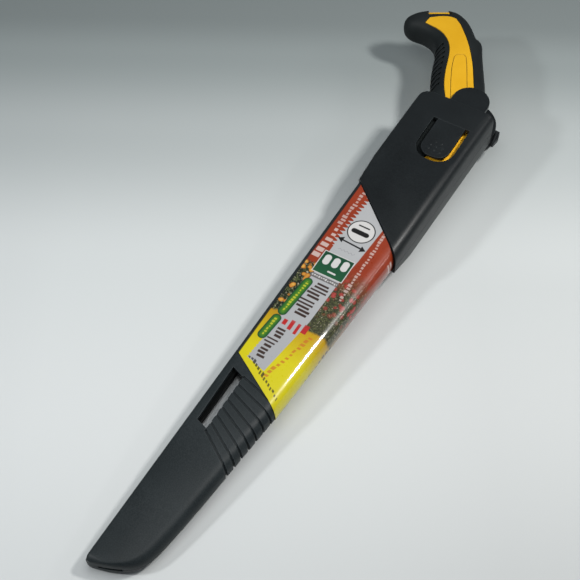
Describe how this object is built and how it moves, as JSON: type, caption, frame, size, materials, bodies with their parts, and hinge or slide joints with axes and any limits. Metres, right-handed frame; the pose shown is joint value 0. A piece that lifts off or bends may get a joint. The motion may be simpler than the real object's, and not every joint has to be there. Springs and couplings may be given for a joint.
{
  "type": "pruning saw in a belt holster",
  "caption": "Straight-bladed pruning saw with a 240 mm blade in its plastic belt holster, hooked two-colour handle, thumb release tab and swivelling belt clip",
  "frame": {"origin": "centre of the base of the overall box, with the holster lying on its back", "axes": "+X from the closed tip of the scabbard to the handle, +Y to the side of the teeth and the handle's hook, +Z out of the front face, where the release tab is"},
  "size_m": [0.4572, 0.1006, 0.0431],
  "materials": {
    "scabbard_plastic": "fine spark-eroded texture",
    "holster_plastic": "fine spark-eroded texture",
    "liner_plastic": "plain",
    "printed_film": "glossy printed film",
    "zinc_steel": "zinc plated",
    "clip_nylon": "satin",
    "saw_steel": "ground and polished",
    "yellow_plastic": "satin",
    "rubber": "matt"
  },
  "bodies": {
    "holster": {"scabbard_front": "scabbard_plastic", "scabbard_back": "scabbard_plastic", "guide_rail_front": "liner_plastic", "guide_rail_back": "liner_plastic", "tip_buffer": "liner_plastic", "label_sleeve": "printed_film", "holster_front": "holster_plastic", "holster_back": "holster_plastic", "rivet_1": "zinc_steel", "rivet_2": "zinc_steel", "clip_base": "clip_nylon", "clip_washer": "zinc_steel", "clip_pivot": "zinc_steel", "lever_pin": "zinc_steel"},
    "saw": {"blade": "saw_steel", "core_front": "yellow_plastic", "core_back": "yellow_plastic", "inlay_front": "yellow_plastic", "inlay_back": "yellow_plastic", "tongue_front": "yellow_plastic", "tongue_back": "yellow_plastic", "grip_rubber": "rubber", "tang_bolt_1": "zinc_steel", "tang_nut_1": "zinc_steel", "tang_bolt_2": "zinc_steel", "tang_nut_2": "zinc_steel"},
    "tab": {"release_tab": "holster_plastic"},
    "clip": {"belt_clip": "clip_nylon"},
    "lever": {"clip_lever": "clip_nylon"}
  },
  "joints": [
    {"name": "saw_draw", "type": "slide", "parent": "holster", "child": "saw", "axis": [1, 0, 0], "range_m": [0, 0.31]},
    {"name": "tab_flex", "type": "hinge", "parent": "holster", "child": "tab", "pos_m": [0.12347, -0.02685, 0.0421], "axis": [0, 1, 0], "range_deg": [-1.5, 4.5], "stiffness_Nm_per_rad": 0.5},
    {"name": "clip_swivel", "type": "hinge", "parent": "holster", "child": "clip", "pos_m": [0.11097, -0.02185, 0.0091], "axis": [0, 0, 1], "range_deg": [-60, 60]},
    {"name": "lever_turn", "type": "hinge", "parent": "holster", "child": "lever", "pos_m": [0.14097, -0.03785, 0.0121], "axis": [0, 0, 1], "range_deg": [-10, 0], "stiffness_Nm_per_rad": 0.05}
  ]
}
